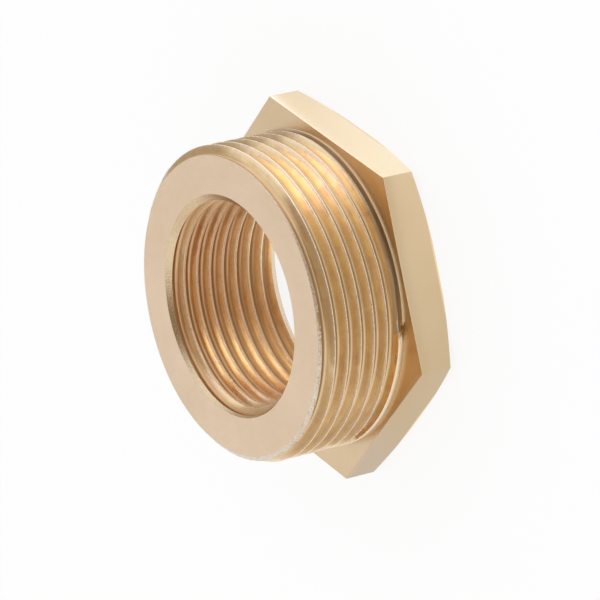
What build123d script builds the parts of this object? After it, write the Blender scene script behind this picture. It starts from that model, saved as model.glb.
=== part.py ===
"""Brass hex reducing bushing: 1 1/2 in outside pipe thread, 1 in inside pipe thread.

It stands on the outer face of its hex, at z = 0, with the bore on +Z and the outside thread on top.
All sizes are in millimetres and degrees.
"""

from build123d import *

import math
import os

# Both threads: parallel pipe form, right-handed, 11 turns to the inch
thread_pitch = 25.4 / 11
flank_angle = 27.5

# Hex head, sharp towards the stem and chamfered on its outer face
hex_across_flats = 50.0
hex_thickness = 6.3
hex_chamfer_diameter = 50.6
hex_chamfer_angle = 18.5

# Stem with the outside thread
overall_length = 20.5
stem_diameter = 47.6
stem_thread_depth = 1.4
stem_crest_width = 0.32
end_chamfer_depth = 1.3
end_chamfer_angle = 45.0

# Neck that the outside thread runs into, and the narrow collar between it and the hex
neck_depth = 1.3
neck_width = 0.8
neck_slope_width = 0.3
collar_step = 0.1
collar_width = 0.15

# Bore with the inside thread, countersunk at both ends
bore_diameter = 30.9
bore_thread_depth = 1.18
bore_crest_width = 0.72
bore_thread_lead = 1.08
end_countersink_diameter = 33.4
hex_countersink_diameter = 35.2
countersink_angle = 45.0

# How far a cutting tool reaches past the surface it opens
tool_overlap = 0.1


def turned(outline):
    """Solid turned on the lathe from an outline of (radius, height) points."""
    profile = Polyline([(radius, 0, height) for radius, height in outline], close=True)
    return Solid.revolve(make_face(profile.edges()).face(), 360, Axis.Z)


def tan_of(angle):
    return math.tan(math.radians(angle))


def thread_tool(open_radius, floor_radius, floor_width, start_height, end_height):
    """Helical groove from start_height, at angle zero, up to end_height, as one solid a turn.

    The groove is floor_width wide at floor_radius and widens with its flanks to open_radius.
    """
    open_width = floor_width + 2 * tan_of(flank_angle) * abs(open_radius - floor_radius)
    corners = [
        (open_radius, -open_width / 2),
        (open_radius, open_width / 2),
        (floor_radius, floor_width / 2),
        (floor_radius, -floor_width / 2),
    ]
    solids = []
    for turn in range(math.ceil((end_height - start_height) / thread_pitch)):
        middle = start_height + turn * thread_pitch
        rails = [
            Edge.make_helix(thread_pitch, thread_pitch, radius, (0, 0, middle + offset)).edge()
            for radius, offset in corners
        ]
        pairs = list(zip(rails, rails[1:] + rails[:1]))
        sides = [Face.make_surface_from_curves(rail, other) for rail, other in pairs]
        ends = [make_face([Line(rail @ t, other @ t) for rail, other in pairs]).face() for t in (0, 1)]
        solids.append(Solid(Shell(sides + ends)))
    return solids


def hex_head():
    corner_radius = hex_across_flats / math.sqrt(3)
    chamfer_radius = hex_chamfer_diameter / 2
    chamfer_height = (corner_radius - chamfer_radius) * tan_of(hex_chamfer_angle)
    bar = extrude(RegularPolygon(hex_across_flats / 2, 6, major_radius=False), hex_thickness)
    envelope = turned([
        (0, 0),
        (chamfer_radius, 0),
        (corner_radius, chamfer_height),
        (corner_radius, hex_thickness),
        (0, hex_thickness),
    ])
    return bar & envelope


def stem():
    """Round stem from the hex to the end face, with its collar, neck and end chamfer."""
    stem_radius = stem_diameter / 2
    neck_radius = stem_radius - neck_depth
    end_radius = stem_radius - end_chamfer_depth
    collar_radius = stem_radius + collar_step
    collar_height = hex_thickness + collar_width
    chamfer_width = end_chamfer_depth / tan_of(end_chamfer_angle)
    return turned([
        (0, 0),
        (collar_radius, 0),
        (collar_radius, collar_height),
        (neck_radius, collar_height + neck_slope_width),
        (neck_radius, collar_height + neck_width),
        (stem_radius, collar_height + neck_width),
        (stem_radius, overall_length - chamfer_width),
        (end_radius, overall_length),
        (0, overall_length),
    ])


def stem_thread():
    """The groove starts above the collar and runs out through the end face."""
    open_radius = stem_diameter / 2 + tool_overlap
    floor_radius = stem_diameter / 2 - stem_thread_depth
    floor_width = thread_pitch - stem_crest_width - 2 * tan_of(flank_angle) * stem_thread_depth
    start_height = hex_thickness + collar_width + (thread_pitch - stem_crest_width) / 2
    return thread_tool(
        open_radius, floor_radius, floor_width, start_height, overall_length + thread_pitch / 2
    )


def bore():
    bore_radius = bore_diameter / 2
    end_radius = end_countersink_diameter / 2
    hex_radius = hex_countersink_diameter / 2
    slope = tan_of(countersink_angle)
    return turned([
        (0, 0),
        (hex_radius, 0),
        (bore_radius, (hex_radius - bore_radius) / slope),
        (bore_radius, overall_length - (end_radius - bore_radius) / slope),
        (end_radius, overall_length),
        (0, overall_length),
    ])


def bore_thread():
    """The groove starts below the hex face and runs out through the end face."""
    open_radius = bore_diameter / 2 - tool_overlap
    floor_radius = bore_diameter / 2 + bore_thread_depth
    floor_width = thread_pitch - bore_crest_width - 2 * tan_of(flank_angle) * bore_thread_depth
    return thread_tool(
        open_radius, floor_radius, floor_width, -bore_thread_lead, overall_length + thread_pitch / 2
    )


def bushing():
    blank = hex_head() + stem() - bore()
    return blank - stem_thread() - bore_thread()


os.makedirs("parts", exist_ok=True)
export_step(bushing(), "parts/bushing.step")
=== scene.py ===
"""Brass hex bushing: the finished look of the turned piece, with its floor, lights and camera.

The bushing's meshes are drawn in millimetres and scaled to metres when they are whole.
"""

import math

import bmesh
import bpy
from mathutils import Matrix, Vector, noise


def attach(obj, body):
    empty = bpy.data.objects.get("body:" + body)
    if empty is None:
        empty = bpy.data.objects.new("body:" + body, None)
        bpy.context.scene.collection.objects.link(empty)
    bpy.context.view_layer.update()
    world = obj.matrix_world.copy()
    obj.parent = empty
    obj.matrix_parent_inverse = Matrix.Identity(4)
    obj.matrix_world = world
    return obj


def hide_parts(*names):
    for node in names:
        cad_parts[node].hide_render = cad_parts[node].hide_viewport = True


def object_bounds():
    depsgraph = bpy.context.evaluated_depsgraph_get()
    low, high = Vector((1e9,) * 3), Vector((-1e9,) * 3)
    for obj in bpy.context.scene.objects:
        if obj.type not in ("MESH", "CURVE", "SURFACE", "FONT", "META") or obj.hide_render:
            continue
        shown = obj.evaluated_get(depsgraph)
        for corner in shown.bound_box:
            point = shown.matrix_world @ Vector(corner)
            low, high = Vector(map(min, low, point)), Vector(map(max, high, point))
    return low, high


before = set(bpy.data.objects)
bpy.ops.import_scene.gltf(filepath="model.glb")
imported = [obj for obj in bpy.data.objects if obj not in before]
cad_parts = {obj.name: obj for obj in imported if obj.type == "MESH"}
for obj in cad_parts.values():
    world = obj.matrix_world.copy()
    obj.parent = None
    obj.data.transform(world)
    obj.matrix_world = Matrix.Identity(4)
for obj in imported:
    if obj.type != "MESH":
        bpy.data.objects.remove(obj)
cad_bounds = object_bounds()


# Stem. It is turned from brass bar, and a die cuts its thread, right-handed and 11 to the inch.
# The die leaves narrow ragged crests and rounded roots, and its groove runs out over a neck by the hex.
# The wall is spun once round the axis and climbs one pitch, so each row of it follows the thread.
MM = 0.001
SPOKES = 360
WELD_GAP = 0.002
ON_PLANE = 0.0005
PITCH = 25.4 / 11
FLANK = math.radians(27.5)
END_HEIGHT = round(cad_bounds[1].z / MM, 3)
SHOULDER_HEIGHT = 6.3
CREST_RADIUS = 23.76
CREST_HEIGHT = 17.86
CREST_WIDTH = 0.15
THREAD_DEPTH = 1.44
CHAMFER_RIM = 22.5
CHAMFER_FOOT = 19.0
COLLAR_RADIUS = 23.9
COLLAR_TOP = 6.54
GROOVE_HEIGHT = 6.8
NECK_RADIUS = 23.05
NECK_TOP = 7.35
NECK_CLEARANCE = 0.02


def thread_section(crest_radius, depth, crest_width, side):
    """One pitch of a thread as (radius, height) points from crest to crest.

    Side is 1 on a shaft and -1 in a bore. The crest's corners are slightly rounded, and the root is as round
    as the depth and the flanks leave room for.
    """
    corner = 0.09
    corner_width = corner * 0.35
    corner_middle = corner * 0.3
    crest_flat = crest_width * 0.36
    flank_start = crest_width / 2 + corner_width
    root_height = PITCH / 2
    full_depth = corner + (root_height - flank_start) / math.tan(FLANK)
    root_radius = (full_depth - depth) / (math.cos(FLANK) / math.tan(FLANK) - 1 + math.sin(FLANK))
    root_start = root_height - root_radius * math.cos(FLANK)
    root_depth = corner + (root_start - flank_start) / math.tan(FLANK)
    half = [(0, 0), (0, crest_flat), (corner_middle, crest_width / 2), (corner, flank_start)]
    for step in (0.5, 1):
        half.append((
            corner + (root_depth - corner) * step,
            flank_start + (root_start - flank_start) * step,
        ))
    for step in (1 / 3, 2 / 3, 1):
        turn = FLANK + (math.pi / 2 - FLANK) * step
        half.append((
            root_depth + root_radius * (math.sin(turn) - math.sin(FLANK)),
            root_height - root_radius * math.cos(turn),
        ))
    rise = half + [(deep, PITCH - height) for deep, height in reversed(half[:-1])]
    return [(crest_radius - side * deep, height) for deep, height in rise[:-1]]


def threaded_wall(section, crest_height, low, high):
    """The thread's surface from under low to over high.

    It starts two turns low, because its rows climb one pitch as they are spun.
    """
    first = math.floor((low - crest_height) / PITCH) - 2
    last = math.ceil((high - crest_height) / PITCH) + 1
    wall = bmesh.new()
    points = [
        wall.verts.new((radius, 0, crest_height + turn * PITCH + height))
        for turn in range(first, last)
        for radius, height in section
    ]
    edges = [wall.edges.new(pair) for pair in zip(points, points[1:])]
    bmesh.ops.spin(
        wall, geom=points + edges, cent=(0, 0, 0), axis=(0, 0, 1),
        dvec=(0, 0, PITCH / SPOKES), angle=math.tau, steps=SPOKES, use_merge=False,
    )
    bmesh.ops.remove_doubles(wall, verts=wall.verts, dist=WELD_GAP)
    return wall


def cut_flat(wall, height, keep="both"):
    """An edge round the wall at one height, and nothing past it where only one side is kept."""
    bmesh.ops.bisect_plane(
        wall, geom=wall.verts[:] + wall.edges[:] + wall.faces[:], dist=ON_PLANE,
        plane_co=(0, 0, height), plane_no=(0, 0, 1),
        clear_outer=keep == "below", clear_inner=keep == "above",
    )


def radius_of(vert):
    return math.hypot(vert.co.x, vert.co.y)


def cut_cone(wall, radius, height, slope):
    """An edge where the wall meets a cone: the cone is sheared to a flat plane, cut, and sheared back."""
    for vert in wall.verts:
        vert.co.z -= (radius_of(vert) - radius) * slope
    cut_flat(wall, height)
    for vert in wall.verts:
        vert.co.z += (radius_of(vert) - radius) * slope


def set_radius(vert, radius):
    stretch = radius / radius_of(vert)
    vert.co.x *= stretch
    vert.co.y *= stretch


def blank_radius(height):
    """The stem as it was turned before its thread: collar, sharp groove, rounded neck and end chamfer."""
    if height <= COLLAR_TOP:
        return COLLAR_RADIUS
    if height <= GROOVE_HEIGHT:
        fall = (height - COLLAR_TOP) / (GROOVE_HEIGHT - COLLAR_TOP)
        return COLLAR_RADIUS - (COLLAR_RADIUS - NECK_RADIUS) * math.sin(fall * math.pi / 2)
    if height <= NECK_TOP:
        rise = (height - GROOVE_HEIGHT) / (NECK_TOP - GROOVE_HEIGHT)
        return NECK_RADIUS + (CREST_RADIUS + NECK_CLEARANCE - NECK_RADIUS) * math.sin(rise * math.pi / 2)
    return CHAMFER_RIM + (END_HEIGHT - height)


def ragged(vert, size, seed):
    """A smooth random number from -1 to 1 that changes over a size in millimetres."""
    return noise.noise(vert.co / size + Vector((seed, seed, seed)))


# The neck's groove stops short at one bearing, in degrees from +X, and a rounded bead goes on from there.
BEAD_MIDDLE = 6.62
BEAD_TOP = 7.06
BEAD_ROUNDING = 0.9
BEAD_START = 73
BEAD_START_LENGTH = 7
BEAD_END = -60
BEAD_END_LENGTH = 30


def bearing_of(point):
    return math.degrees(math.atan2(point.y, point.x))


def bead(vert):
    """How far the groove has filled up to the bead, from 0 to 1, with a soft start and end."""
    bearing = bearing_of(vert.co)
    risen = min(1, max(0, (BEAD_START - bearing) / BEAD_START_LENGTH))
    amount = risen * min(1, max(0, (bearing - BEAD_END) / BEAD_END_LENGTH))
    return amount * amount * (3 - 2 * amount)


NECK_ROWS = (
    6.4, COLLAR_TOP, 6.6, 6.66, 6.73, GROOVE_HEIGHT, 6.88, 6.97, BEAD_TOP, 7.16, 7.26, NECK_TOP,
)
ON_CHAMFER = 0.003
CLEAN_RIM = 0.1
CHAMFER_SWELL = 0.03
CHAMFER_WAVES = 0.05
CREST_BAND = 0.05
CREST_WAVES = 0.03

stem = threaded_wall(
    thread_section(CREST_RADIUS, THREAD_DEPTH, CREST_WIDTH, side=1),
    CREST_HEIGHT, SHOULDER_HEIGHT, END_HEIGHT,
)
cut_flat(stem, SHOULDER_HEIGHT, keep="above")
for height in NECK_ROWS:
    cut_flat(stem, height)
cut_cone(stem, CHAMFER_RIM, END_HEIGHT, slope=-1)
cut_flat(stem, END_HEIGHT, keep="below")
for vert in stem.verts:
    blank = blank_radius(vert.co.z)
    radius = radius_of(vert)
    if vert.co.z > CHAMFER_FOOT and abs(radius - blank) < ON_CHAMFER:
        if vert.co.z < END_HEIGHT - CLEAN_RIM:
            set_radius(vert, radius + CHAMFER_SWELL + CHAMFER_WAVES * ragged(vert, size=0.5, seed=3))
    elif vert.co.z < NECK_TOP and bead(vert) > 0:
        rounded = COLLAR_RADIUS - BEAD_ROUNDING * (vert.co.z - BEAD_MIDDLE) ** 2
        filled = rounded if vert.co.z <= BEAD_TOP else radius
        set_radius(vert, min(radius, blank) + (filled - min(radius, blank)) * bead(vert))
    elif vert.co.z < GROOVE_HEIGHT or radius > blank:
        set_radius(vert, blank)
    elif radius > CREST_RADIUS - CREST_BAND:
        set_radius(vert, radius + CREST_WAVES * ragged(vert, size=0.6, seed=7))


# Bore. It is drilled through the brass, threaded by a tap, 11 to the inch, and countersunk at 45 degrees
# at both ends, wider at the hex. The tap leaves broader flat crests than the die does outside.
BORE_CREST_RADIUS = 15.45
BORE_CREST_HEIGHT = 16.24
BORE_CREST_WIDTH = 0.34
BORE_THREAD_DEPTH = 1.18
BORE_CREST_BAND = 0.03
BORE_CREST_WAVES = 0.02
END_COUNTERSINK = 16.7
HEX_COUNTERSINK = 17.6


def countersink_radius(height):
    """The radius of the wider countersink at one height."""
    return max(END_COUNTERSINK - (END_HEIGHT - height), HEX_COUNTERSINK - height)


bore = threaded_wall(
    thread_section(BORE_CREST_RADIUS, BORE_THREAD_DEPTH, BORE_CREST_WIDTH, side=-1),
    BORE_CREST_HEIGHT, 0, END_HEIGHT,
)
cut_cone(bore, END_COUNTERSINK, END_HEIGHT, slope=1)
cut_cone(bore, HEX_COUNTERSINK, 0, slope=-1)
cut_flat(bore, END_HEIGHT, keep="below")
cut_flat(bore, 0, keep="above")
for vert in bore.verts:
    widest = countersink_radius(vert.co.z)
    radius = radius_of(vert)
    if radius < widest:
        set_radius(vert, widest)
    elif widest < BORE_CREST_RADIUS and radius < BORE_CREST_RADIUS + BORE_CREST_BAND:
        set_radius(vert, radius + BORE_CREST_WAVES * ragged(vert, size=0.6, seed=11))


# Hex. Its six brass flats are milled, 50 mm across, and keep a sharp shoulder towards the stem.
# A lathe chamfers the outer face, so each flat ends there in two curved corners.
HALF_FLATS = round(cad_bounds[1].y / MM, 3)
HEX_CHAMFER_RADIUS = 25.3
HEX_CHAMFER_SLOPE = math.tan(math.radians(18.5))
EDGE = 0.07
BROKEN_EDGE = EDGE * 0.3
FLAT_START = EDGE * 0.5


def hex_radius(vert, half_flats):
    turned = math.atan2(vert.co.y, vert.co.x) % (math.pi / 3) - math.pi / 6
    return half_flats / math.cos(turned)


def next_ring(wall, ring):
    """A ring of faces grown from a ring of edges, and the edges at its far side."""
    grown = bmesh.ops.extrude_edge_only(wall, edges=ring)["geom"]
    return [part for part in grown if isinstance(part, bmesh.types.BMEdge) and part.is_boundary]


hexagon = bmesh.new()
bmesh.ops.create_circle(hexagon, cap_ends=False, segments=SPOKES, radius=HEX_CHAMFER_RADIUS)
ring = hexagon.edges[:]
for vert in hexagon.verts:
    set_radius(vert, min(HEX_CHAMFER_RADIUS, hex_radius(vert, HALF_FLATS - EDGE)))
for inset, height in (
    (0, 0),
    (0, SHOULDER_HEIGHT - EDGE),
    (BROKEN_EDGE, SHOULDER_HEIGHT - BROKEN_EDGE),
    (EDGE, SHOULDER_HEIGHT),
):
    ring = next_ring(hexagon, ring)
    for vert in {vert for edge in ring for vert in edge.verts}:
        radius = hex_radius(vert, HALF_FLATS - inset)
        chamfered = FLAT_START + max(0, radius - HEX_CHAMFER_RADIUS) * HEX_CHAMFER_SLOPE
        set_radius(vert, radius)
        vert.co.z = height if height else chamfered


# The bushing is one piece of brass. Its stem, bore and hex are joined here by the three flat rings that
# a lathe faces: the end face, the shoulder, and the outer face of the hex, which it stands on.
# Each ring is given as its height and two radii that its rims lie between.
END_FACE, SHOULDER, HEX_FLATS, OUTER_FACE, THREAD, NECK, CHAMFER, BORE, COUNTERSINK = range(9)
FACED_RINGS = ((END_HEIGHT, 14, 24), (SHOULDER_HEIGHT, 20, 30), (0, 14, 30))
ON_RIM = 0.02

bushing_mesh = bpy.data.meshes.new("bushing_turned_brass")
whole = bmesh.new()
for part in (stem, bore, hexagon):
    part.to_mesh(bushing_mesh)
    whole.from_mesh(bushing_mesh)
    part.free()

for height, inner, outer in FACED_RINGS:
    rims = [
        edge for edge in whole.edges
        if edge.is_boundary and all(
            abs(vert.co.z - height) < ON_RIM and inner < radius_of(vert) < outer for vert in edge.verts
        )
    ]
    bmesh.ops.triangle_fill(whole, edges=rims, use_beauty=True, normal=(0, 0, 1))
bmesh.ops.remove_doubles(whole, verts=whole.verts, dist=WELD_GAP / 2)
bmesh.ops.dissolve_degenerate(whole, edges=whole.edges, dist=ON_PLANE)
bmesh.ops.recalc_face_normals(whole, faces=whole.faces)

LEVEL = 0.999
FACING_DOWN = -0.5
BORE_REACH = 2.5
STEM_REACH = 23.95
ON_SURFACE = 0.02
# The bearings between which the bead takes the thread's finish and with it the painted crest highlight
BEAD_PAINTED_HIGHLIGHT_START = 69.5
BEAD_PAINTED_HIGHLIGHT_END = -58
SHARP_ANGLE = math.radians(40)


def is_level(face):
    return abs(face.normal.z) > LEVEL


def surface_of(face):
    """Which finish a face of the bushing has, from where it lies. The collar and the bead take the thread's
    finish, so its painted crest highlight lies along them as a bright line.
    """
    centre = face.calc_center_median()
    radius = math.hypot(centre.x, centre.y)
    if is_level(face):
        if face.normal.z < 0:
            return OUTER_FACE
        return END_FACE if centre.z > NECK_TOP else SHOULDER
    if radius < BORE_CREST_RADIUS + BORE_REACH:
        cone = countersink_radius(centre.z)
        return COUNTERSINK if radius < cone + ON_SURFACE and cone > BORE_CREST_RADIUS else BORE
    if centre.z < SHOULDER_HEIGHT + ON_PLANE and radius > STEM_REACH:
        return OUTER_FACE if face.normal.z < FACING_DOWN else HEX_FLATS
    # The collar, and the bead between the two bearings, get the thread's finish and so the painted highlight
    # along their tops
    if centre.z < NECK_TOP:
        has_painted_highlight = BEAD_PAINTED_HIGHLIGHT_END < bearing_of(centre) < BEAD_PAINTED_HIGHLIGHT_START
        return THREAD if centre.z < COLLAR_TOP or has_painted_highlight else NECK
    return CHAMFER if abs(radius - blank_radius(centre.z)) < ON_SURFACE else THREAD


for face in whole.faces:
    face.smooth = True
    face.material_index = surface_of(face)
for edge in whole.edges:
    finishes = {face.material_index for face in edge.link_faces}
    level_sides = sum(is_level(face) for face in edge.link_faces)
    edge.smooth = len(finishes) == 1 and level_sides != 1 and edge.calc_face_angle(0) < SHARP_ANGLE
bmesh.ops.scale(whole, verts=whole.verts, vec=(MM, MM, MM))
whole.to_mesh(bushing_mesh)
whole.free()
bushing = bpy.data.objects.new("bushing_turned_brass", bushing_mesh)
bpy.context.collection.objects.link(bushing)
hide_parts("bushing")
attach(bushing, "root")


# Brass finishes. The bushing is free-cutting brass, bare and clean, and each surface is as its tool left it.
# The grain is drawn at a few tenths of a millimetre, coarser than the real one, so that it shows.
def colour(code):
    """A linear colour from an sRGB hex code."""
    values = [int(code[at:at + 2], 16) / 255 for at in (1, 3, 5)]
    return [value / 12.92 if value <= 0.04045 else ((value + 0.055) / 1.055) ** 2.4 for value in values] + [1]


def add_node(tree, kind, inputs=(), **settings):
    """A node with its settings, and its inputs set or linked."""
    made = tree.nodes.new(kind)
    for name, value in settings.items():
        setattr(made, name, value)
    for socket, value in dict(inputs).items():
        if isinstance(value, bpy.types.NodeSocket):
            tree.links.new(value, made.inputs[socket])
        else:
            made.inputs[socket].default_value = value
    return made


def layered(tree, ground, layers):
    """A colour with other colours laid over it in turn, each as its share and its hex code."""
    for share, over in layers:
        ground = add_node(tree, "ShaderNodeMixRGB", {
            "Fac": share.outputs[0], "Color1": ground, "Color2": colour(over),
        }).outputs["Color"]
    return ground


def brass(name, pale, deep, roughness, grain_mm, bump, specks=0.0):
    """Bare brass between a pale and a deep colour that drift over 9 mm, with the tool's grain in its bump.

    Specks is how strongly the grain's hollows are darkened.
    """
    material = bpy.data.materials.new(name)
    material.use_nodes = True
    tree = material.node_tree
    shader = tree.nodes["Principled BSDF"]
    place = add_node(tree, "ShaderNodeTexCoord").outputs["Object"]
    drift = add_node(tree, "ShaderNodeTexNoise", {
        "Vector": place, "Scale": 1 / (9 * MM), "Detail": 5, "Roughness": 0.6,
    })
    grain = add_node(tree, "ShaderNodeTexNoise", {
        "Vector": place, "Scale": 1 / (grain_mm * MM), "Detail": 2,
    })
    raised = add_node(tree, "ShaderNodeBump", {
        "Height": grain.outputs["Fac"], "Strength": bump, "Distance": grain_mm * MM,
    })
    speck = add_node(tree, "ShaderNodeMapRange", {
        "Value": grain.outputs["Fac"], "From Min": 0.52, "From Max": 0.66, "To Max": specks,
    })
    drifting = add_node(tree, "ShaderNodeMixRGB", {
        "Fac": drift.outputs["Fac"], "Color1": colour(pale), "Color2": colour(deep),
    }).outputs["Color"]
    tree.links.new(layered(tree, drifting, [(speck, "#86684A")]), shader.inputs["Base Color"])
    tree.links.new(raised.outputs["Normal"], shader.inputs["Normal"])
    shader.inputs["Metallic"].default_value = 1
    shader.inputs["Roughness"].default_value = roughness
    return material


def threaded_brass(name, crest_radius, depth, side, pale, deep, root_shade_colour, root, crest, root_shade_strength):
    """Brass cut by a die or tap: glossy flanks with faint torn streaks along the thread, painted shade over
    the root with a darker painted shadow line at its bottom, a painted sheen beside the crest, and a thin
    bright ragged painted highlight along the crest. Side is 1 on a shaft and -1 in a bore.
    """
    material = bpy.data.materials.new(name)
    material.use_nodes = True
    tree = material.node_tree
    shader = tree.nodes["Principled BSDF"]

    # How far a point is from the axis, and how deep below the crest
    place = add_node(tree, "ShaderNodeTexCoord").outputs["Object"]
    flat = add_node(tree, "ShaderNodeVectorMath", {0: place, 1: (1, 1, 0)}, operation="MULTIPLY")
    flat = flat.outputs["Vector"]
    radius = add_node(tree, "ShaderNodeVectorMath", {0: flat}, operation="LENGTH").outputs["Value"]
    sunk = add_node(tree, "ShaderNodeMath", {
        0: radius, 1: -side, 2: side * crest_radius * MM,
    }, operation="MULTIPLY_ADD").outputs[0]

    # Streaks half a millimetre wide, drawn out along the thread, in clouds over 3 mm, and stains over 2 mm
    spoke = add_node(tree, "ShaderNodeVectorMath", {0: flat}, operation="NORMALIZE")
    apart = add_node(tree, "ShaderNodeVectorMath", {0: place, 1: flat}, operation="SUBTRACT")
    bent = add_node(tree, "ShaderNodeVectorMath", {
        0: spoke.outputs["Vector"], 1: (3 * MM, 3 * MM, 3 * MM), 2: apart.outputs["Vector"],
    }, operation="MULTIPLY_ADD")
    streak = add_node(tree, "ShaderNodeTexNoise", {
        "Vector": bent.outputs["Vector"], "W": radius, "Scale": 1 / (0.5 * MM), "Detail": 3,
    }, noise_dimensions="4D")
    cloud = add_node(tree, "ShaderNodeTexNoise", {"Vector": place, "Scale": 1 / (3 * MM), "Detail": 3})
    tone = add_node(tree, "ShaderNodeMath", {
        0: streak.outputs["Fac"], 1: cloud.outputs["Fac"],
    }, operation="MULTIPLY")
    tone = add_node(tree, "ShaderNodeMapRange", {
        "Value": tone.outputs[0], "From Min": 0.15, "From Max": 0.4,
    })
    stain = add_node(tree, "ShaderNodeTexNoise", {
        "Vector": place, "Scale": 1 / (2.2 * MM), "Detail": 2, "Distortion": 0.6,
    })
    stain = add_node(tree, "ShaderNodeMapRange", {
        "Value": stain.outputs["Fac"], "From Min": 0.5, "From Max": 0.72, "To Max": 0.6,
    })

    # Bands by depth: the ragged painted highlight along the crest, a painted sheen beside it, painted shade
    # over the root and a darker painted shadow line at its bottom
    speck = add_node(tree, "ShaderNodeTexNoise", {"Vector": place, "Scale": 1 / (0.35 * MM), "Detail": 2})
    torn = add_node(tree, "ShaderNodeMapRange", {
        "Value": speck.outputs["Fac"], "From Min": 0.3, "From Max": 0.7,
        "To Min": -0.06 * MM, "To Max": 0.06 * MM,
    })
    torn_depth = add_node(tree, "ShaderNodeMath", {0: sunk, 1: torn.outputs[0]}, operation="ADD")
    # Painted highlight: a thin bright ragged line along the crest, which stands in for the glint of light on
    # it
    crest_painted_highlight = add_node(tree, "ShaderNodeMapRange", {
        "Value": torn_depth.outputs[0], "From Min": 0.075 * MM, "From Max": 0.02 * MM,
    })
    # Painted sheen: the flank is painted paler near the crest, where it catches the light
    crest_side_painted_sheen = add_node(tree, "ShaderNodeMapRange", {
        "Value": sunk, "From Min": 0.5 * MM, "From Max": 0.1 * MM, "To Max": 0.55,
    })
    # Painted shade: the root is painted darker, with a still darker line at its bottom, where it lies in
    # shade
    root_painted_shade = add_node(tree, "ShaderNodeMapRange", {
        "Value": sunk, "From Min": (depth - 0.7) * MM, "From Max": (depth - 0.22) * MM, "To Max": root_shade_strength,
    })
    root_painted_shadow_line = add_node(tree, "ShaderNodeMapRange", {
        "Value": sunk, "From Min": (depth - 0.05) * MM, "From Max": (depth - 0.005) * MM, "To Max": 0.8,
    })

    # The ragged crests and the roots are rougher than the cut flanks, and the crests less metallic
    flank = add_node(tree, "ShaderNodeMixRGB", {
        "Fac": tone.outputs[0], "Color1": colour(pale), "Color2": colour(deep),
    }).outputs["Color"]
    # The root colour paints the shadow line at the root's bottom, and the crest colour paints the highlight
    # along the crest
    finished = layered(tree, flank, [
        (stain, "#DDB8A0"), (crest_side_painted_sheen, "#FFEAD4"),
        (root_painted_shade, root_shade_colour), (root_painted_shadow_line, root), (crest_painted_highlight, crest),
    ])
    metal = add_node(tree, "ShaderNodeMapRange", {
        "Value": crest_painted_highlight.outputs[0], "To Min": 1, "To Max": 0.75,
    })
    dulled = add_node(tree, "ShaderNodeMath", {
        0: crest_painted_highlight.outputs[0], 1: root_painted_shade.outputs[0],
    }, operation="MAXIMUM")
    gloss = add_node(tree, "ShaderNodeMapRange", {
        "Value": dulled.outputs[0], "To Min": 0.18, "To Max": 0.5,
    })
    raised = add_node(tree, "ShaderNodeBump", {
        "Height": streak.outputs["Fac"], "Strength": 0.12, "Distance": 0.1 * MM,
    })
    tree.links.new(finished, shader.inputs["Base Color"])
    tree.links.new(metal.outputs[0], shader.inputs["Metallic"])
    tree.links.new(gloss.outputs[0], shader.inputs["Roughness"])
    tree.links.new(raised.outputs["Normal"], shader.inputs["Normal"])
    return material


# How deep below the crest the painted root shade and its painted shadow line lie
PAINTED_SHADE_DEPTH = 1.42
BORE_PAINTED_SHADE_DEPTH = 1.18

for finish in (
    # The end is faced coarsely: pale, matt and faintly grained
    brass("faced_brass_end", "#FCE8D0", "#ECD4B8", roughness=0.45, grain_mm=0.25, bump=0.3),
    # The shoulder is faced finer and mirrors the thread softly
    brass("faced_brass_shoulder", "#EAD2B0", "#DCC29E", roughness=0.3, grain_mm=0.25, bump=0.12),
    # The flats are milled to an even satin shine
    brass("milled_brass_flats", "#F8DDB4", "#F4D6AA", roughness=0.24, grain_mm=0.25, bump=0.06),
    # The outer face and its chamfer are duller and a little browner
    brass("turned_brass_outer_face", "#EAD6BE", "#DCC4A8", roughness=0.4, grain_mm=0.25, bump=0.2),
    # The die-cut thread is yellow and glossy, with painted highlights along its crests and painted shade in
    # its roots
    threaded_brass(
        "die_cut_brass_thread", CREST_RADIUS, PAINTED_SHADE_DEPTH, side=1, pale="#F4D9AA", deep="#E5C598",
        root_shade_colour="#E4C49A", root="#A08058", crest="#FFEFD2", root_shade_strength=0.5,
    ),
    # The neck is greyer than the thread
    brass("turned_brass_neck", "#DCCDB8", "#C0AC92", roughness=0.3, grain_mm=0.2, bump=0.15),
    # The end chamfer is matt and nicked, with dark specks
    brass("turned_brass_chamfer", "#F8ECDC", "#EADAC2", roughness=0.4, grain_mm=0.35, bump=0.4, specks=0.3),
    # The tapped thread is redder, with softer painted crest highlights and stronger painted shade in its
    # roots
    threaded_brass(
        "tapped_brass_bore", BORE_CREST_RADIUS, BORE_PAINTED_SHADE_DEPTH, side=-1, pale="#F8D8AE", deep="#ECC898",
        root_shade_colour="#E0B686", root="#9C744A", crest="#F8D8B2", root_shade_strength=0.7,
    ),
    # The countersinks are turned smooth and stay bright
    brass("turned_brass_countersink", "#F2DCBC", "#E0C8A2", roughness=0.25, grain_mm=0.2, bump=0.3),
):
    bushing_mesh.materials.append(finish)


# Floor and lights. The bushing stands on white paper in a white tent, which lights it evenly.
# Bright brass shows what is round it, so cards that only reflections see stand in for the rest of the studio,
# and the floor card and bore card glow with painted shade and painted light.
FLOOR_SIZE = 6
FLOOR_WHITENING = 0.85
TENT_STRENGTH = 0.95

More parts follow.
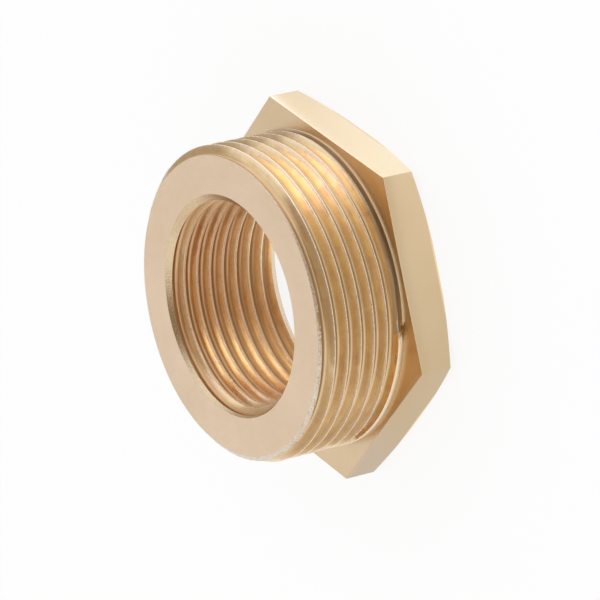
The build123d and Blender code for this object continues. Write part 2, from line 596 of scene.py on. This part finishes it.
floor_mesh = bpy.data.meshes.new("floor")
floor_sheet = bmesh.new()
bmesh.ops.create_grid(floor_sheet, x_segments=1, y_segments=1, size=FLOOR_SIZE)
floor_sheet.to_mesh(floor_mesh)
floor_sheet.free()
floor = bpy.data.objects.new("floor", floor_mesh)
bpy.context.collection.objects.link(floor)
floor_paper = bpy.data.materials.new("white_paper_floor")
floor_paper.use_nodes = True
paper = floor_paper.node_tree
paper_shader = paper.nodes["Principled BSDF"]
paper_shader.inputs["Base Color"].default_value = colour("#FCFCFC")
paper_shader.inputs["Roughness"].default_value = 0.9
paper_shader.inputs["Specular IOR Level"].default_value = 0
ray = add_node(paper, "ShaderNodeLightPath")
seen = add_node(paper, "ShaderNodeMath", {
    0: ray.outputs["Is Camera Ray"], 1: ray.outputs["Is Glossy Ray"],
}, operation="MAXIMUM")
seen = add_node(paper, "ShaderNodeMath", {
    0: seen.outputs[0], 1: ray.outputs["Is Transmission Ray"],
}, operation="MAXIMUM")
lift = add_node(paper, "ShaderNodeMath", {0: seen.outputs[0], 1: FLOOR_WHITENING}, operation="MULTIPLY")
white = add_node(paper, "ShaderNodeEmission", {"Color": colour("#FFFFFF"), "Strength": 1.0})
blend = add_node(paper, "ShaderNodeMixShader", {
    0: lift.outputs[0], 1: paper_shader.outputs[0], 2: white.outputs[0],
})
paper.links.new(blend.outputs[0], paper.nodes["Material Output"].inputs["Surface"])
floor_mesh.materials.append(floor_paper)

world = bpy.data.worlds.new("studio")
world.use_nodes = True
world.node_tree.nodes["Background"].inputs["Color"].default_value = colour("#FFFFFF")
world.node_tree.nodes["Background"].inputs["Strength"].default_value = TENT_STRENGTH
bpy.context.scene.world = world
bpy.context.scene.view_settings.view_transform = "Standard"


def reflected_card(name, sheet, brightness, tint="#FFFFFF"):
    """A card that only reflections see, evenly bright."""
    card_mesh = bpy.data.meshes.new(name)
    sheet.to_mesh(card_mesh)
    sheet.free()
    card = bpy.data.objects.new(name, card_mesh)
    bpy.context.collection.objects.link(card)
    card.visible_camera = False
    card.visible_diffuse = False
    card.visible_shadow = False
    card.visible_transmission = False
    cloth = bpy.data.materials.new(name)
    cloth.use_nodes = True
    shader = cloth.node_tree.nodes["Principled BSDF"]
    shader.inputs["Base Color"].default_value = colour("#000000")
    shader.inputs["Specular IOR Level"].default_value = 0
    shader.inputs["Emission Color"].default_value = colour(tint)
    shader.inputs["Emission Strength"].default_value = brightness
    card_mesh.materials.append(cloth)
    return card


def sky_direction(azimuth, elevation):
    across = math.cos(math.radians(elevation))
    return Vector((
        across * math.cos(math.radians(azimuth)),
        across * math.sin(math.radians(azimuth)),
        math.sin(math.radians(elevation)),
    ))


def hung_card(name, azimuth, elevation, width, height, brightness, tint):
    """A card a metre away that faces the bushing. Width and height are the degrees it covers."""
    sheet = bmesh.new()
    bmesh.ops.create_grid(sheet, x_segments=1, y_segments=1, size=1)
    half = [math.tan(math.radians(size / 2)) for size in (width, height)]
    bmesh.ops.scale(sheet, verts=sheet.verts, vec=(half[0], half[1], 1))
    toward = sky_direction(azimuth, elevation)
    facing = toward.to_track_quat("Z", "Y").to_matrix().to_4x4()
    bmesh.ops.transform(sheet, verts=sheet.verts, matrix=facing)
    bmesh.ops.translate(sheet, verts=sheet.verts, vec=toward)
    reflected_card(name, sheet, brightness, tint)


hung_card("camera_flag", 100, 52, width=52, height=44, brightness=0.22, tint="#FFDDB0")
hung_card("left_flag", 240, 14, width=56, height=38, brightness=0.47, tint="#FFF2E2")
hung_card("right_flag", 320, 42, width=44, height=40, brightness=0.57, tint="#FFEBD2")
hung_card("top_flag", 88, 90, width=50, height=50, brightness=0.42, tint="#FFE6C8")


# Floor card, painted shade and painted light for reflections. It lies on the floor round the bushing and
# glows with a painted shade of the floor, grey on most sides, and a painted bright patch towards -X, and
# fills the reflections of the flanks and flats. Each of its rings has its own tones, as (bearing in degrees,
# grey or linear colour), and blends into the next one between two radii in millimetres.
CARD_HEIGHT = 0.3
FLOOR_CARD_RADII = (24, 250)
FLOOR_CARD_STRENGTH = 4.0
FAR_BLEND = (42, 48)
DISTANT_BLEND = (50, 66)
NEAR_TONES = (
    (-180, (0.235, 0.25, 0.275)), (-120, 0.22), (-70, (0.16, 0.17, 0.24)), (-25, (0.155, 0.165, 0.22)),
    (20, 0.155), (60, 0.16), (90, 0.176), (117, 0.195), (124, (0.265, 0.30, 0.345)),
    (150, (0.262, 0.287, 0.325)), (180, (0.235, 0.25, 0.275)),
)
FAR_TONES = (
    (-180, (0.55, 0.60, 0.95)), (-162, (0.47, 0.48, 0.72)), (-148, 0.23), (-100, 0.17),
    (-60, (0.18, 0.19, 0.22)), (-20, (0.195, 0.215, 0.27)), (5, (0.185, 0.20, 0.24)),
    (20, (0.16, 0.165, 0.18)), (40, 0.155), (80, 0.14), (105, 0.14), (132, 0.20),
    (148, (0.49, 0.53, 0.86)), (180, (0.55, 0.60, 0.95)),
)
DISTANT_TONES = (
    (-180, 0.5), (-148, 0.23), (-100, 0.17),
    (-60, (0.20, 0.21, 0.24)), (-20, (0.205, 0.225, 0.28)), (5, (0.195, 0.21, 0.25)),
    (20, (0.17, 0.175, 0.19)), (40, 0.165), (80, 0.15), (105, 0.15), (132, 0.21),
    (148, 0.5), (180, 0.5),
)


def by_bearing(tree, bearing, stops):
    """A colour that changes with the bearing, from one stop to the next."""
    band = add_node(tree, "ShaderNodeValToRGB", {"Fac": bearing})
    ramp = band.color_ramp
    while len(ramp.elements) < len(stops):
        ramp.elements.new(0.5)
    for element, (degrees, tone) in zip(ramp.elements, stops):
        element.position = (degrees + 180) / 360
    for element, (degrees, tone) in zip(ramp.elements, stops):
        element.color = [*tone, 1] if isinstance(tone, tuple) else (tone, tone, tone, 1)
    return band.outputs["Color"]


def spin_band(sheet, radii, height, angle, steps):
    """A flat ring, or a sector of one, between two radii at one height, all in millimetres."""
    ends = [sheet.verts.new((radius * MM, 0, height * MM)) for radius in radii]
    edge = sheet.edges.new(ends)
    bmesh.ops.spin(
        sheet, geom=ends + [edge], cent=(0, 0, 0), axis=(0, 0, 1),
        dvec=(0, 0, 0), angle=angle, steps=steps, use_merge=angle == math.tau,
    )


floor_glow = bmesh.new()
spin_band(floor_glow, FLOOR_CARD_RADII, CARD_HEIGHT, math.tau, steps=72)
floor_painted_shade_and_light_card = reflected_card("floor_painted_shade_and_light_card", floor_glow, FLOOR_CARD_STRENGTH)
tree = floor_painted_shade_and_light_card.data.materials[0].node_tree
place = add_node(tree, "ShaderNodeTexCoord").outputs["Object"]
split = add_node(tree, "ShaderNodeSeparateXYZ", {"Vector": place})
bearing = add_node(tree, "ShaderNodeMath", {
    0: split.outputs["Y"], 1: split.outputs["X"],
}, operation="ARCTAN2")
bearing = add_node(tree, "ShaderNodeMapRange", {
    "Value": bearing.outputs[0], "From Min": -math.pi, "From Max": math.pi,
}).outputs[0]
reach = add_node(tree, "ShaderNodeVectorMath", {0: place}, operation="LENGTH").outputs["Value"]
distant = add_node(tree, "ShaderNodeMapRange", {
    "Value": reach, "From Min": DISTANT_BLEND[0] * MM, "From Max": DISTANT_BLEND[1] * MM,
})
outward = add_node(tree, "ShaderNodeMixRGB", {
    "Fac": distant.outputs[0],
    "Color1": by_bearing(tree, bearing, FAR_TONES),
    "Color2": by_bearing(tree, bearing, DISTANT_TONES),
})
far = add_node(tree, "ShaderNodeMapRange", {
    "Value": reach, "From Min": FAR_BLEND[0] * MM, "From Max": FAR_BLEND[1] * MM,
})
tone = add_node(tree, "ShaderNodeMixRGB", {
    "Fac": far.outputs[0],
    "Color1": by_bearing(tree, bearing, NEAR_TONES),
    "Color2": outward.outputs["Color"],
})
# The card's tones are painted floor shade round the bushing and a painted bright patch towards -X
tree.links.new(tone.outputs["Color"], tree.nodes["Principled BSDF"].inputs["Emission Color"])


# Bore card, painted light and shade for reflections. It lies below the bore, with a sector raised on its -X
# side, and glows brighter on that side, so that the tapped thread shows a painted bright side and a painted
# dim one.
BORE_CARD_RADIUS = 15.3
BORE_SECTOR_RADII = (-9, -15.3)
BORE_SECTOR_HEIGHT = 5
BORE_SECTOR_ANGLE = math.radians(38)
BRIGHT_SIDE = (-1, -0.3, 0)
BRIGHT_BLEND = (3.2, 6.5)
DIM_TONE = (0.52, 0.46, 0.42, 1)
BRIGHT_TONE = (1.55, 1.85, 1.95, 1)

bore_glow = bmesh.new()
bmesh.ops.create_circle(bore_glow, cap_ends=True, segments=48, radius=BORE_CARD_RADIUS * MM)
bmesh.ops.translate(bore_glow, verts=bore_glow.verts, vec=(0, 0, CARD_HEIGHT * MM))
# The raised sector stands inside the bore and glows brightly there, a painted light that the tapped thread
# reflects
spin_band(bore_glow, BORE_SECTOR_RADII, BORE_SECTOR_HEIGHT, BORE_SECTOR_ANGLE, steps=8)
bore_painted_light_and_shade_card = reflected_card("bore_painted_light_and_shade_card", bore_glow, 1.0)
tree = bore_painted_light_and_shade_card.data.materials[0].node_tree
place = add_node(tree, "ShaderNodeTexCoord").outputs["Object"]
across = add_node(tree, "ShaderNodeVectorMath", {0: place, 1: BRIGHT_SIDE}, operation="DOT_PRODUCT")
across = add_node(tree, "ShaderNodeMapRange", {
    "Value": across.outputs["Value"], "From Min": BRIGHT_BLEND[0] * MM, "From Max": BRIGHT_BLEND[1] * MM,
})
tone = add_node(tree, "ShaderNodeMixRGB", {
    "Fac": across.outputs[0], "Color1": DIM_TONE, "Color2": BRIGHT_TONE,
})
tree.links.new(tone.outputs["Color"], tree.nodes["Principled BSDF"].inputs["Emission Color"])


# Camera. A long lens looks down on the end face, past the stem to the hex.
# It is rolled so that the bushing's axis lies across the frame.
CAMERA_AZIMUTH = 93.488
CAMERA_ELEVATION = 32.991
CAMERA_ROLL = math.radians(256.786)
CAMERA_DISTANCE = 748 * MM
CAMERA_SHIFT = (6.31 * MM, 2.99 * MM)
SENSOR_WIDTH = 36
FRAME_PIXELS = 600
FOCAL_PIXELS = 5042

backward = sky_direction(CAMERA_AZIMUTH, CAMERA_ELEVATION)
level = Vector((0, 0, 1)).cross(backward).normalized()
upright = backward.cross(level)
rightward = math.cos(CAMERA_ROLL) * level + math.sin(CAMERA_ROLL) * upright
upward = math.cos(CAMERA_ROLL) * upright - math.sin(CAMERA_ROLL) * level
camera_data = bpy.data.cameras.new("camera")
camera_data.sensor_width = SENSOR_WIDTH
camera_data.lens = FOCAL_PIXELS / FRAME_PIXELS * SENSOR_WIDTH
camera_data.clip_start = 0.05
camera_data.clip_end = 20
camera = bpy.data.objects.new("camera", camera_data)
bpy.context.collection.objects.link(camera)
turned_to = Matrix((rightward, upward, backward)).transposed()
camera.matrix_world = Matrix.Translation(
    turned_to @ Vector((-CAMERA_SHIFT[0], -CAMERA_SHIFT[1], CAMERA_DISTANCE))
) @ turned_to.to_4x4()
bpy.context.scene.camera = camera
